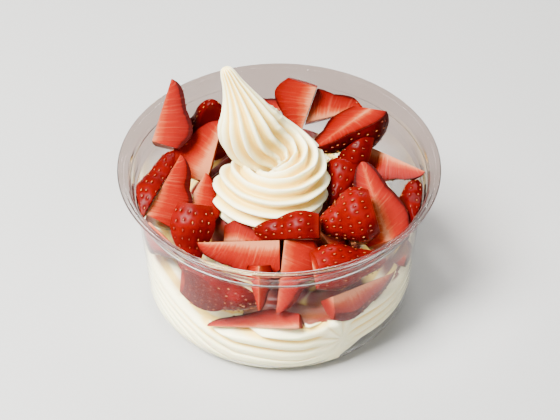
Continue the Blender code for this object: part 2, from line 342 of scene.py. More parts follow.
def tub_section():
    """Radius and height round the section, from the middle of the base up and back down inside."""
    arc = np.linspace(math.radians(-90), round_end_angle(), 14)
    inner = CORNER_R - WALL
    outside = [(0.0, 0.0), (20.0, 0.0), (36.0, 0.0)]
    outside += [(BASE_R + CORNER_R * math.cos(a), CORNER_R + CORNER_R * math.sin(a)) for a in arc]
    outside += [(float(wall_r(z)), z) for z in WALL_RINGS]
    outside += [(52.45, 48.3), (52.75, 48.6), (53.05, 48.8)]
    outside += [(COLLAR_R, COLLAR_Z), (53.25, 49.5), (53.9, 52.6), (54.05, 53.3), (54.33, 53.45)]
    outside += [(54.36, 53.7), (54.2, 53.9), (54.45, 55.0), (54.75, 56.4), (55.0, 57.3)]
    outside += [(55.35, 57.85), (55.9, 58.15), (57.2, 58.6), (58.0, 58.95), (58.35, 59.3)]
    outside += [(RIM_R, 59.65), (58.42, 59.9), (58.2, RIM_Z)]
    inside = [(57.95, 59.93), (57.6, 59.6), (57.2, 59.38), (56.95, 59.16), (56.7, 59.2)]
    inside += [(56.5, 59.3), (56.1, 59.1), (55.75, 58.85), (55.35, 58.7), (54.95, 58.35)]
    inside += [(54.7, 57.9), (54.35, 56.5), (54.05, 56.25), (54.0, 55.95), (54.15, 55.6)]
    inside += [(53.7, 53.5), (53.45, 52.5)]
    inside += [(52.7, 49.5), (52.55, 49.25), (52.2, 49.05), (51.95, 48.75), (51.8, 48.3)]
    inside += [(float(wall_r(z, WALL)), z) for z in WALL_RINGS[::-1]]
    inside += [(BASE_R + inner * math.cos(a), CORNER_R + inner * math.sin(a)) for a in arc[::-1]]
    inside += [(36.0, WALL), (20.0, WALL), (0.0, WALL)]
    return outside + inside


def make_tub(material):
    section = np.array(tub_section())
    turns = np.linspace(0.0, 2.0 * math.pi, 240, endpoint=False)
    rings = [np.stack([r * np.cos(turns), r * np.sin(turns), np.full_like(turns, z)], 1)
             for r, z in section]
    faces = grid_faces(len(section), len(turns), closed=True)
    tub = mesh_object("clear_cup", np.concatenate(rings), faces)
    tub.data.materials.append(material)
    keep(tub, "clear_plastic", "cup")
    return tub


# %% [markdown]
# Clear PET is glass to the shader, with a low roughness. The pressed sheet is never quite even, which
# makes its reflections swim a little. Towards the back the upper wall is given a greyish rosy tint:
# painted shade, standing in for the dim reflections and shadow that darken the back wall seen through
# the tub. Its reflections are kept weak so that the fruit behind it keeps its colour. Lamps shine
# straight through it, or the food would stand in a black shadow.

# %% Clear plastic
def make_clear_plastic():
    plastic = Finish("clear_plastic")
    place = plastic.object_place()
    height = plastic.node("ShaderNodeSeparateXYZ", None, [place], out=2)
    depth = plastic.node("ShaderNodeSeparateXYZ", None, [place], out=1)
    drift = plastic.noise(place, 55.0, 2.0)
    # Painted shade: the upper wall towards the back is darkened to a grey rose in its base colour.
    painted_back_shade = height.between(0.014, 0.050) * depth.between(-0.046, -0.006)
    painted_shade_share = (painted_back_shade * (0.85 + 0.3 * drift)).clamped()
    tint = plastic.blend(painted_shade_share, (0.955, 0.95, 0.945, 1.0), (0.40, 0.315, 0.285, 1.0))
    swim = plastic.noise(place, 120.0, 1.0)
    normal = plastic.bump(swim, 0.05, 0.0004)
    glass = plastic.node("ShaderNodeBsdfPrincipled", None, {
        "Base Color": tint, "Roughness": 0.03, "IOR": 1.20, "Specular Tint": (0.05, 0.05, 0.05, 1.0),
        "Transmission Weight": 1.0, "Normal": normal})
    through = plastic.node("ShaderNodeBsdfTransparent")
    shadow = plastic.node("ShaderNodeLightPath", out=1)
    return plastic.finish(plastic.node("ShaderNodeMixShader", None, [shadow, glass, through]))


make_tub(make_clear_plastic())

# %% [markdown]
# ## Soft serve
# Frozen yogurt leaves the machine as a thick rope with a star section. Light goes a little way into it
# before it comes back, so shadows are soft and warm. The crests are nearly white, and the valleys
# between the ridges are painted a deeper, darker yellow: painted shade, standing in for the shade and
# warm glow that gather there. The colour reads a valley attribute that both the bed and the swirl store
# as they are made.

# %% Cream material
def make_cream():
    cream = Finish("frozen_yogurt_cream")
    place = cream.object_place()
    valley = cream.attribute("valley")
    mottle = cream.noise(place, 90.0, 3.0)
    crest = cream.blend(mottle, (0.96, 0.89, 0.53, 1.0), (0.97, 0.91, 0.60, 1.0))
    # Painted shade: the darker, deeper yellow laid into the valleys between ridges.
    valley_shade = cream.blend(mottle, (0.82, 0.57, 0.11, 1.0), (0.86, 0.64, 0.16, 1.0))
    colour = cream.blend(valley.between(0.10, 0.75), crest, valley_shade)
    # Partly a juice stain, mostly painted shade: cream near the fruit is darkened to a deep red.
    stain_and_shade = cream.attribute("juice").between(0.08, 0.62) * (0.82 + 0.32 * mottle)
    colour = cream.blend(stain_and_shade.clamped(), colour, (0.13, 0.004, 0.002, 1.0))
    ice = cream.noise(place, 1600.0, 3.0, 0.6)
    soft = cream.noise(place, 260.0, 2.0)
    normal = cream.bump(soft, 0.25, 0.0004, cream.bump(ice, 0.12, 0.0001))
    gloss = 0.34 + 0.16 * mottle
    return cream.finish(cream.node("ShaderNodeBsdfPrincipled", None, {
        "Base Color": colour, "Roughness": gloss, "Normal": normal, "IOR": 1.36,
        "Subsurface Weight": 0.35, "Subsurface Radius": (1.0, 0.72, 0.42),
        "Subsurface Scale": 0.003}))


cream_material = make_cream()
print("cream ready")

# %% [markdown]
# The swirl is one rope laid round once and then pulled up to a point. Its path is a short list of
# places with the rope's girth at each, joined by a smooth curve. Round the pole of the swirl the
# rope is bent more tightly than its own thickness, so the inner side bunches up: one column says
# how strongly.

# %% Path of the rope
SWIRL_POLE = (-3.0, 1.5)
ROPE_R = 11.8
RIDGES, POINTS_PER_RIDGE = 14, 14
# x, y, z of the rope's centre, its girth as a share of the rope's radius, how far it bunches,
# and how many degrees the rope has turned about its own line
ROPE_PATH = (
    (-8.0, 12.5, 38.0, 0.80, 1.0, 0),
    (-12.6, 6.5, 42.5, 0.95, 1.0, 0),
    (-12.8, -2.0, 46.2, 1.00, 1.0, 0),
    (-8.0, -8.2, 48.2, 1.00, 1.0, 10),
    (-1.5, -9.6, 49.2, 1.00, 1.0, 25),
    (4.6, -6.2, 50.2, 1.00, 1.0, 45),
    (7.0, 0.5, 51.4, 1.00, 1.0, 70),
    (5.2, 6.6, 53.4, 1.00, 1.0, 90),
    (0.0, 9.8, 56.6, 1.00, 0.8, 105),
    (-5.6, 10.2, 61.2, 1.02, 0.35, 110),
    (-9.6, 9.4, 66.6, 1.05, 0.0, 110),
    (-11.5, 9.5, 71.5, 0.96, 0.0, 110),
    (-12.9, 10.6, 76.2, 0.74, 0.0, 110),
    (-14.6, 12.0, 81.0, 0.52, 0.0, 110),
    (-16.6, 13.4, 85.8, 0.34, 0.0, 110),
    (-18.3, 14.5, 89.6, 0.24, 0.0, 110),
    (-19.2, 15.0, 91.3, 0.16, 0.0, 110),
    (-19.5, 15.1, 92.0, 0.02, 0.0, 110),
)


def smooth_rows(rows, steps):
    """Catmull-Rom curve through rows of numbers, a few steps between each pair."""
    rows = np.array(rows, float)
    padded = np.vstack([2 * rows[0] - rows[1], rows, 2 * rows[-1] - rows[-2]])
    out = []
    for k in range(1, len(padded) - 2):
        a, b, c, d = padded[k - 1:k + 3]
        for t in np.arange(steps) / steps:
            out.append(0.5 * (2 * b + (c - a) * t + (2 * a - 5 * b + 4 * c - d) * t ** 2
                              + (3 * b - a - 3 * c + d) * t ** 3))
    out.append(rows[-1])
    return np.array(out)


def make_rope_path():
    rows = smooth_rows(ROPE_PATH, 12)
    flat = rows[:, :2] - np.array(SWIRL_POLE)
    outward = flat / np.maximum(np.linalg.norm(flat, axis=1), 1e-6)[:, None]
    data = bpy.data.meshes.new("rope_path")
    edges = [(i, i + 1) for i in range(len(rows) - 1)]
    data.from_pydata((rows[:, :3] * MM).tolist(), edges, [])
    made = bpy.data.objects.new("rope_path", data)
    bpy.context.scene.collection.objects.link(made)
    store(made, "girth", np.maximum(rows[:, 3], 0.01))
    store(made, "bunch", np.clip(rows[:, 4], 0.0, 1.0))
    store(made, "twist", np.radians(rows[:, 5]))
    store(made, "outward", np.c_[outward, np.zeros(len(rows))], "FLOAT_VECTOR")
    return made


# %% [markdown]
# Geometry Nodes suit the rope well: a star-shaped section is swept along the path with Curve to
# Mesh and scaled by the girth. Where the rope bunches, every point that would pass the pole is
# eased back to it, so all the ridges on the inside run together there, as they do in the real one.

# %% Geometry tree for the rope
class Growth(Board):
    """A geometry tree with named inputs."""

    def __init__(self, name, inputs):
        super().__init__(bpy.data.node_groups.new(name, "GeometryNodeTree"))
        self.tree.interface.new_socket("Geometry", in_out="INPUT", socket_type="NodeSocketGeometry")
        self.tree.interface.new_socket("Geometry", in_out="OUTPUT",
                                       socket_type="NodeSocketGeometry")
        for title, kind in inputs:
            self.tree.interface.new_socket(title, in_out="INPUT", socket_type=kind)
        self.entry = self.tree.nodes.new("NodeGroupInput")

    def given(self, title):
        return Field(self, self.entry.outputs[title])

    def named(self, title, kind="FLOAT"):
        return self.node("GeometryNodeInputNamedAttribute", {"data_type": kind}, [title])

    def vectors(self, operation, *values, out=0):
        return self.node("ShaderNodeVectorMath", {"operation": operation}, list(values), out)

    def close(self, geometry):
        self.node("NodeGroupOutput", None, [geometry])
        return self.tree


def grow(source, tree, values):
    """Run a geometry tree on an object and keep the result as a plain mesh."""
    step = source.modifiers.new("grow", "NODES")
    step.node_group = tree
    for item in tree.interface.items_tree:
        if item.in_out == "INPUT" and item.name in values:
            step[item.identifier] = values[item.name]
    graph = bpy.context.evaluated_depsgraph_get()
    result = bpy.data.meshes.new_from_object(source.evaluated_get(graph))
    source.modifiers.clear()
    source.data = result
    return source


def rope_tree():
    tree = Growth("piped_rope", [
        ("Ridges", "NodeSocketInt"), ("Section points", "NodeSocketInt"),
        ("Rope radius", "NodeSocketFloat"), ("Ridge depth", "NodeSocketFloat"),
        ("Core", "NodeSocketFloat"), ("Pole", "NodeSocketVector"),
        ("Cream", "NodeSocketMaterial")])
    circle = tree.node("GeometryNodeCurvePrimitiveCircle", {"mode": "RADIUS"}, {
        "Resolution": tree.given("Section points"), "Radius": tree.given("Rope radius")})
    place = tree.node("GeometryNodeInputPosition")
    x = tree.node("ShaderNodeSeparateXYZ", None, [place], out=0)
    y = tree.node("ShaderNodeSeparateXYZ", None, [place], out=1)
    turn = x.math("ARCTAN2", y, x)
    crest = 0.5 + 0.5 * (turn * tree.given("Ridges")).cos()
    valley = 1.0 - crest ** 1.15
    shrink = 1.0 - tree.given("Ridge depth") * valley
    marked = tree.node("GeometryNodeStoreNamedAttribute",
                       {"data_type": "FLOAT", "domain": "POINT"},
                       {"Geometry": circle, "Name": "valley", "Value": valley})
    star = tree.node("GeometryNodeSetPosition", None, {
        "Geometry": marked, "Position": tree.vectors("SCALE", place, None, None, shrink)})
    path = tree.node("GeometryNodeMeshToCurve", None, [tree.given("Geometry")])
    path = tree.node("GeometryNodeSetCurveTilt", None,
                     {"Curve": path, "Tilt": tree.named("twist")})
    rope = tree.node("GeometryNodeCurveToMesh", None, {
        "Curve": path, "Profile Curve": star, "Scale": tree.named("girth"), "Fill Caps": True})
    outward = tree.named("outward", "FLOAT_VECTOR")
    reach = tree.vectors("DOT_PRODUCT", tree.vectors("SUBTRACT", place, tree.given("Pole")),
                         outward, out=1)
    eased = 0.5 * (reach + (reach * reach + tree.given("Core") * tree.given("Core")) ** 0.5)
    shift = (eased - reach) * tree.named("bunch")
    bunched = tree.node("GeometryNodeSetPosition", None, {
        "Geometry": rope, "Offset": tree.vectors("SCALE", outward, None, None, shift)})
    smooth = tree.node("GeometryNodeSetShadeSmooth", None, {"Geometry": bunched})
    real = tree.node("GeometryNodeRealizeInstances", None, [smooth])
    return tree.close(tree.node("GeometryNodeSetMaterial", None, {
        "Geometry": real, "Material": tree.given("Cream")}))


# %% Sweep the swirl
def make_swirl():
    swirl = grow(make_rope_path(), rope_tree(), {
        "Ridges": RIDGES, "Section points": RIDGES * POINTS_PER_RIDGE, "Rope radius": ROPE_R * MM,
        "Ridge depth": 0.28, "Core": 2.0 * MM,
        "Pole": (SWIRL_POLE[0] * MM, SWIRL_POLE[1] * MM, 0.0), "Cream": cream_material})
    swirl.name = "yogurt_swirl"
    keep(swirl, "frozen_yogurt", "frozen_yogurt")


make_swirl()

# %% [markdown]
# The bed fills the tub below the fruit. Seen through the wall it is not a smooth fill but thick
# ridged ropes that sink as they come round from the left and run level at the front, pressed flat
# where they touch the plastic. So the wall side is a fine grid round the tub, pushed in along the
# valleys between ridges, and further in at the right, where a pocket of air was left in the corner.

# %% Height and relief of the bed
BED_CROWN_R, BED_CROWN_Z = 16.0, 42.0
BED_INTO_WALL = 0.03        # how far the cream reaches into the plastic, so that no air shows
BED_LIP = 2.4               # radius of the round where the wall side meets the top
BED_COLUMNS = 540
# the air pocket: its direction, half its width in degrees, its depth and its height
HOLLOW_TURN, HOLLOW_SPREAD, HOLLOW_DEPTH, HOLLOW_HEIGHT = -36.0, 27.0, 4.6, 10.5
# direction round the tub and height of one ridge of the ropes at the wall
RIDGE_LINE = ((-180, 29.0), (-160, 26.0), (-131, 20.5), (-109, 13.0), (-80, 11.0), (-60, 12.0),
              (-20, 15.0), (40, 21.0), (100, 27.0), (150, 30.0), (180, 29.0))
RIDGE_GAP = 3.6
# the blunt end of the last rope: its direction, height and how far its fan of ridges reaches
NOSE_TURN, NOSE_Z, NOSE_REACH = -59.0, 14.5, 15.0


def apart(turn, centre):
    return np.abs((turn - centre + 180.0) % 360.0 - 180.0)


def bed_wall_z(turn):
    """Height of the bed at the wall: heaped at the back, climbing left, dipping before the front."""
    heap = 13.0 * np.exp(-(apart(turn, 90.0) / 45.0) ** 2)
    climb = 5.0 * np.exp(-(apart(turn, -170.0) / 30.0) ** 2)
    dip = -5.0 * np.exp(-(apart(turn, -124.0) / 14.0) ** 2)
    swell = 2.0 * np.exp(-(apart(turn, -88.0) / 16.0) ** 2)
    return 24.0 + heap + climb + dip + swell


def ridge_height(turn):
    places, heights = zip(*RIDGE_LINE)
    return np.interp(turn, places, heights)


def pocket(turn, z):
    """How far the bed stands back from the wall in the air pocket."""
    across = np.maximum(1.0 - (apart(turn, HOLLOW_TURN) / HOLLOW_SPREAD) ** 2, 0.0)
    up = np.maximum(1.0 - (z / HOLLOW_HEIGHT) ** 2, 0.0)
    return HOLLOW_DEPTH * across * up ** 0.7


def wall_relief(turn, z):
    """Depth of the bed's surface behind the wall, and how much of a valley it is."""
    wander = 1.3 * np.sin(np.radians(3.0 * turn + 40.0)) + 0.7 * np.sin(np.radians(8.0 * turn))
    gap = RIDGE_GAP + 0.8 * np.sin(np.radians(2.0 * turn - 60.0)) + 0.05 * z
    level = (z - ridge_height(turn) + wander) / gap
    valley = (1.0 - np.abs(np.cos(np.pi * level))) ** 1.4
    run, rise = np.radians(turn - NOSE_TURN) * 50.0, z - NOSE_Z
    reach = np.hypot(run, rise)
    rays = (1.0 - np.abs(np.cos(5.0 * np.arctan2(rise, run + 3.0)))) ** 1.3
    fan = np.clip((NOSE_REACH - reach) / 5.0, 0.0, 1.0) * np.clip((4.0 - run) / 6.0, 0.0, 1.0)
    valley = valley * (1.0 - fan) + 0.5 * rays * fan
    pressed = np.clip((z - 8.0) / 7.0, 0.0, 1.0)
    crease = valley ** 4.0 * (1.0 - pressed)
    return 1.9 * valley * pressed + 0.5 * crease, np.maximum(valley * pressed, 0.8 * crease)


def bed_rows(columns):
    """Rows of places from the middle of the base out, up the wall and in over the top."""
    turn = np.linspace(-180.0, 180.0, columns, endpoint=False)
    edge_z = bed_wall_z(turn)
    floor_z = WALL - BED_INTO_WALL
    for r in (0.4, 12.0, 24.0, 34.0):
        yield turn, np.full(columns, r), np.full(columns, floor_z), np.zeros(columns)
    for share in np.linspace(0.0, 1.0, 100) ** 1.15:
        z = floor_z + share * (edge_z - floor_z)
        depth, valley = wall_relief(turn, z)
        over = np.clip((z - edge_z + BED_LIP) / BED_LIP, 0.0, 1.0)
        lip = BED_LIP * (1.0 - np.sqrt(1.0 - over ** 2))
        corner = np.clip((z - floor_z) / 3.0, 0.0, 1.0)
        r = wall_r(z, WALL - BED_INTO_WALL) - depth * corner - lip - pocket(turn, z)
        yield turn, r, z, valley
    edge_r = wall_r(edge_z, WALL) - BED_LIP - wall_relief(turn, edge_z)[0]
    for share in np.linspace(0.0, 1.0, 60)[1:]:
        r = edge_r + (BED_CROWN_R - edge_r) * share
        rise = 0.5 - 0.5 * math.cos(math.pi * share)
        wave = np.cos(2.0 * math.pi * (r - 30.0 + 3.0 * np.sin(np.radians(turn * 2.0))) / 5.2)
        valley = 0.5 - 0.5 * wave
        z = edge_z + (BED_CROWN_Z - edge_z) * rise - 1.6 * valley * math.sin(math.pi * share)
        yield turn, r, z, valley
    yield turn, np.full(columns, 0.5), np.full(columns, BED_CROWN_Z), np.zeros(columns)


def bed_places(columns):
    rows = list(bed_rows(columns))
    turn = np.radians(np.array([row[0] for row in rows]))
    r, z, valley = (np.array([row[i] for row in rows]) for i in (1, 2, 3))
    return np.stack([r * np.cos(turn), r * np.sin(turn), z], -1), valley


# %% [markdown]
# Where a strawberry lies against the wall, the cream has to stay behind it. The solid pieces know where
# that is, so each point of the bed looks in from outside the tub: if it meets a strawberry near the
# wall, it is moved to just inside that strawberry, out of sight. Juice runs from the cut fruit and the
# gaps between pieces lie in shadow, so the top of the bed also stores how near the fruit is, and the
# cream is darkened to a deep red by it: partly a juice stain, mostly painted shade.

# %% Clear the window pieces and build the bed
TUCK_R, TUCK_Z = 34.0, 12.0         # the bed is only tucked outside and above these
LOOK_FROM, LOOK_PAST = 60.0, 5.0    # each look starts outside the tub and ends this far inside the bed
TUCK_GAP = 1.2                      # how far behind the fruit the cream is tucked
TUCK_DEEP, TUCK_FADE = 4.6, 1.6     # fruit deeper than this in the cream is left covered
SOFTENING = 4                       # how often the slope round the fruit is averaged
JUICE_SHADE_REACH, JUICE_SHADE_STRENGTH, JUICE_SHADE_LOWEST = 5.5, 1.5, 24.0
# within this far of the wall the stain and painted shade only start at a height, and grow over a few
# millimetres
JUICE_SHADE_WALL, JUICE_SHADE_WALL_Z, JUICE_SHADE_WALL_RISE = 2.5, 28.0, 3.0


def fruit_tree():
    """One search tree over all the solid strawberry pieces."""
    corners, faces = [], []
    for name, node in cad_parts.items():
        if name.startswith("strawberry"):
            start = len(corners)
            corners += [Vector(v.co) / MM for v in node.data.vertices]
            faces += [[start + i for i in f.vertices] for f in node.data.polygons]
    return BVHTree.FromPolygons(corners, faces)


def spread(field):
    """Each value averaged with its neighbours, round the tub and up it."""
    sideways = (np.roll(field, 1, axis=1) + field + np.roll(field, -1, axis=1)) / 3.0
    padded = np.vstack([sideways[:1], sideways, sideways[-1:]])
    return (padded[:-2] + padded[1:-1] + padded[2:]) / 3.0


def tuck_behind_fruit(places, fruit):
    """Move the bed's points that lie over a strawberry at the wall to just inside it, with a soft
    slope round its outline."""
    reach = np.hypot(places[..., 0], places[..., 1])
    pushed = np.zeros_like(reach)
    for i, row in enumerate(places):
        for k, (x, y, z) in enumerate(row):
            r = reach[i, k]
            if r < TUCK_R or z < TUCK_Z:
                continue
            outward = Vector((x / r, y / r, 0.0))
            start = outward * LOOK_FROM + Vector((0.0, 0.0, z))
            hit = fruit.ray_cast(start, -outward, LOOK_FROM + LOOK_PAST - r)[0]
            if hit is not None:
                valley_shade = r - math.hypot(hit.x, hit.y)
                shown = min(max((TUCK_DEEP - valley_shade) / TUCK_FADE, 0.0), 1.0)
                pushed[i, k] = max(valley_shade + TUCK_GAP, 0.0) * shown
    soft = pushed
    for _ in range(SOFTENING):
        soft = np.maximum(spread(soft), pushed)
    places[..., :2] *= (1.0 - soft / np.maximum(reach, 1.0))[..., None]
    return places


def juice_and_shade_marks(places, fruit):
    """How strongly each point of the bed's top is darkened, partly a juice stain and mostly painted
    shade: most where fruit lies on it. Low on the wall the cream stays clean."""
    marks = np.zeros(len(places))
    for k, (x, y, z) in enumerate(places):
        if z < JUICE_SHADE_LOWEST:
            continue
        gap = fruit.find_nearest(Vector((x, y, z)), 3.0 * JUICE_SHADE_REACH)[3]
        if gap is not None:
            marks[k] = min(JUICE_SHADE_STRENGTH * math.exp(-(gap / JUICE_SHADE_REACH) ** 2), 1.0)
            if math.hypot(x, y) > wall_r(z, WALL) - JUICE_SHADE_WALL:
                marks[k] *= min(max((z - JUICE_SHADE_WALL_Z) / JUICE_SHADE_WALL_RISE, 0.0), 1.0)
    return marks


def make_bed():
    places, valley = bed_places(BED_COLUMNS)
    fruit = fruit_tree()
    places = tuck_behind_fruit(places, fruit)
    rows = len(places)
    faces = grid_faces(rows, BED_COLUMNS, closed=True)
    points = places.reshape(-1, 3)
    low, high = len(points), len(points) + 1
    points = np.vstack([points, [0.0, 0.0, WALL - BED_INTO_WALL], [0.0, 0.0, BED_CROWN_Z]])
    last = (rows - 1) * BED_COLUMNS
    for j in range(BED_COLUMNS):
        k = (j + 1) % BED_COLUMNS
        faces.append((k, j, low))
        faces.append((last + j, last + k, high))
    bed = mesh_object("yogurt_bed", points, faces, join=0.0)
    store(bed, "valley", np.append(valley.ravel(), [0.0, 0.0]))
    store(bed, "juice", juice_and_shade_marks(points_of(bed), fruit))
    bed.data.materials.append(cream_material)
    keep(bed, "frozen_yogurt", "frozen_yogurt")


make_bed()

# %% [markdown]
# ## Strawberry pieces
# Every piece is a quarter or a half of a strawberry. The uncut fruit is a solid turned round its
# core: broad at the leaf end, pointed at the tip. A piece is the part of it between two cuts that
# meet at the core. Each row below places one piece by the two ends of its core, the radius of its
# fruit, and how far the middle of its skin is rolled from the direction up and forward.

# %% Where each piece lies
SPAN = {"quarter": 90.0, "half": 180.0}
FACING = Vector((0.0, -1.0, 1.0)).normalized()
BERRIES = (
    ("left_rim_wedge", "quarter", (-47, 17, 56), (-40, 35, 71), 13, 135),
    ("left_of_peak", "quarter", (-27, 10, 42), (-21, 26, 58), 15, -135),
    ("left_wedge", "quarter", (-48, -13, 47), (-36, 7, 58), 14, 135),
    ("front_left_skin", "quarter", (-30, -11, 50), (-33, -28, 31), 11, 0),
    ("front_wedge", "quarter", (0, -29, 49), (-29, -28, 47), 13, -135),
    ("front_skin", "quarter", (15, -23, 49), (-9, -21, 46), 9, 0),
    ("right_seeded", "half", (34, -18, 53), (14, -21, 48), 10, 0),
    ("right_half", "half", (39, -25, 45), (30, 3, 58), 9.5, 180),
    ("back_right_half", "half", (34, 31, 60), (13, 11, 58), 12, -120),
    ("back_upright", "quarter", (14, 42, 61), (7, 31, 44), 14, 135),
    ("right_rim_wedge", "quarter", (34, 17, 53), (53, 1, 55), 10, 135),
    ("front_upright", "quarter", (2, -28, 50), (-1, -48, 32), 13, -135),
    ("back_wedge", "quarter", (6, 36, 48), (33, 42, 51), 12, -135),
    ("right_back_half", "half", (34, 14, 53), (18, 17, 55), 9, 0),
    ("right_of_swirl", "half", (26, 10, 51), (19, -7, 45), 8, 0),
    ("front_right_long", "half", (12, -38, 43), (38, -29, 40), 8, 0),
    ("window_wedge", "quarter", (19, -45, 37), (42, -30, 35), 13, 135),
    ("window_slice", "quarter", (7, -50, 26), (-26, -43, 20), 6.5, 135),
    ("window_skin", "half", (-34, -35, 38), (-7, -45, 34), 10, 45),
    ("window_tip", "quarter", (-7, -40, 47), (-7, -50, 35), 7, 180),
    ("right_wall_half", "half", (47, -17, 42), (50, 2, 50), 8, 0),
    ("back_left_half", "half", (-27, 35, 38), (-25, 33, 63), 10, 0),
    ("left_wall_half", "half", (-49, -12, 42), (-39, 15, 53), 8, -60),
    ("tucked_left", "quarter", (-35, -10, 46), (-27, 5, 51), 12, 135),
    ("front_tucked", "quarter", (-20, -22, 40), (-3, -24, 41), 9, -135),
    ("front_small", "quarter", (14, -21, 46), (24, -34, 41), 10, 180),
    ("front_right_tucked", "quarter", (22, -25, 43), (42, -24, 43), 10, -135),
    ("left_wall_bit", "quarter", (-47, -14, 44), (-35, -27, 41), 9, 135),
    ("back_small", "quarter", (-14, 43, 42), (4, 46, 49), 9, -135),
    ("window_right_bit", "quarter", (46, -22, 36), (46, -8, 32), 7, 180),
)
print("strawberry pieces:", len(BERRIES))

# %% [markdown]
# A piece is built as four sheets of points that share their edges: the skin, the two cut faces and
# the flat at the leaf end. Every point knows how far along the core it is, how deep it lies between
# core and skin, and how far round. Where pieces press on each other or on the tub, the solid model
# already says where the flat is, so points beyond it are drawn back towards the piece's middle.

# %% Shape of one piece
FLESH_STEP = 0.42           # spacing of points over a piece
WALL_FILM = 0.12            # film of juice between the plastic and fruit pressed on it
FILM_SHADE_EDGE, FILM_SHADE_FADE = 1.0, 0.6     # how far in from the plastic the juice film and its painted shade show
LUMP_DEPTH, LUMP_SCALE = 0.35, 0.16
DIMPLE_DEPTH, DIMPLE_R = 0.30, 0.75
SEED_ROW_GAP, SEED_SIDE_GAP = 2.5, 2.9


def fruit_r(share, radius):
    """Radius of the uncut fruit at a share of its length, from the leaf end to the tip."""
    shoulder = 0.80 + 0.26 * np.sin(np.pi * np.minimum(share / 0.62, 1.0))
    return radius * shoulder * np.sqrt(np.maximum(1.0 - share ** 2.4, 0.0))


class Piece:
    """The own axes of one cut piece, and the way between them and places in the tub."""

    def __init__(self, name, cut, leaf_end, tip, radius, roll):
        self.name = "strawberry_" + name
        self.base, tip = Vector(leaf_end), Vector(tip)
        self.length = (tip - self.base).length
        self.along = (tip - self.base).normalized()
        skin = (FACING - self.along * FACING.dot(self.along)).normalized()
        self.skin = Matrix.Rotation(math.radians(roll), 3, self.along) @ skin
        self.across = self.along.cross(self.skin)
        self.radius = radius
        self.half_span = math.radians(SPAN[cut]) / 2.0

    def place(self, share, depth, turn):
        """Places for arrays of share along the core, depth from it (1 at the skin) and turn."""
        reach = depth * fruit_r(share, self.radius)
        side = (reach * np.cos(turn))[:, None] * np.array(self.skin)
        side = side + (reach * np.sin(turn))[:, None] * np.array(self.across)
        core = np.array(self.base) + (share * self.length)[:, None] * np.array(self.along)
        return core + side

    def measure(self, points):
        """Share, depth and turn of arrays of places."""
        away = points - np.array(self.base)
        share = np.clip(away @ np.array(self.along) / self.length, 0.0, 1.0)
        x, y = away @ np.array(self.skin), away @ np.array(self.across)
        depth = np.hypot(x, y) / np.maximum(fruit_r(share, self.radius), 0.6)
        return share, np.clip(depth, 0.0, 1.0), np.arctan2(y, x)


def press_inside_wall(points):
    """Places that would cross the tub's wall are pressed back to just inside it."""
    r = np.hypot(points[:, 0], points[:, 1])
    limit = wall_r(points[:, 2], WALL + WALL_FILM)
    scale = np.where((points[:, 2] <= RIM_Z) & (r > limit), limit / np.maximum(r, 1e-6), 1.0)
    return points * np.stack([scale, scale, np.ones_like(scale)], 1)


def against_wall(points):
    """1 where a place lies on the inside of the tub's wall, fading to 0 a little way in."""
    gap = wall_r(points[:, 2], WALL + WALL_FILM) - np.hypot(points[:, 0], points[:, 1])
    return np.clip((FILM_SHADE_EDGE - gap) / FILM_SHADE_FADE, 0.0, 1.0) * (points[:, 2] < STEP_Z)


def contact_planes(piece, points):
    """Flats of a solid piece that cut well into the uncut shape, as normals and offsets."""
    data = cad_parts[piece.name].data
    corners = np.array([v.co for v in data.vertices]) / MM
    planes = []
    for face in data.polygons:
        normal = np.array(face.normal)
        offset = normal @ corners[face.vertices[0]]
        if face.area < 2e-7 or (corners @ normal).max() > offset + 0.03:
            continue
        centre = np.array([face.center]) / MM
        share, depth, _ = piece.measure(centre)
        if share[0] > 0.95 or depth[0] > 0.90 or (points @ normal).max() < offset + 1.2:
            continue
        if all(n @ normal < 0.999 or abs(o - offset) > 0.05 for n, o in planes):
            planes.append((normal, offset))
    return planes, corners.mean(0)


def draw_back(points, planes, middle):
    """Pull places that lie beyond a flat along the line to the middle until they meet it."""
    keep_share = np.ones(len(points))
    for normal, offset in planes:
        rise = (points - middle) @ normal
        room = offset - middle @ normal
        keep_share = np.where(rise > room, np.minimum(keep_share, room / np.maximum(rise, 1e-9)),
                              keep_share)
    return middle + (points - middle) * keep_share[:, None], keep_share


def seed_spots(piece, rng):
    """Staggered rows of seeds over the skin: share along the core and turn of each."""
    spots = []
    rows = int(piece.length * 1.12 / SEED_ROW_GAP)
    for k in range(1, rows):
        share = math.sin(0.5 * math.pi * k / rows) ** 1.15
        reach = float(fruit_r(np.array(share), piece.radius))
        count = max(int(2.0 * math.pi * reach / SEED_SIDE_GAP), 3)
        for i in range(count):
            turn = 2.0 * math.pi * (i + 0.5 * (k % 2)) / count - math.pi
            turn += rng.normal(0.0, 0.12 / max(reach, 1.0) * SEED_SIDE_GAP)
            if abs(turn) < piece.half_span - 0.5 / max(reach, 1.0):
                spots.append((share + rng.normal(0.0, 0.010), turn))
    return np.array(spots)


def dimples(piece, share, turn, spots):
    """How deep each place on the skin sinks round the nearest seeds, in millimetres."""
    if not len(spots):
        return np.zeros_like(share)
    reach = fruit_r(share, piece.radius)
    along = (share[:, None] - spots[None, :, 0]) * piece.length
    round_it = (turn[:, None] - spots[None, :, 1]) * reach[:, None]
    near = np.min(np.hypot(along, round_it), axis=1)
    return DIMPLE_DEPTH * np.exp(-(near / DIMPLE_R) ** 2)


def sheet(rows, columns):
    """Share and depth or turn over a sheet: two flat arrays from 0 to 1."""
    u, v = np.meshgrid(np.linspace(0, 1, rows), np.linspace(0, 1, columns), indexing="ij")
    return u.ravel(), v.ravel()


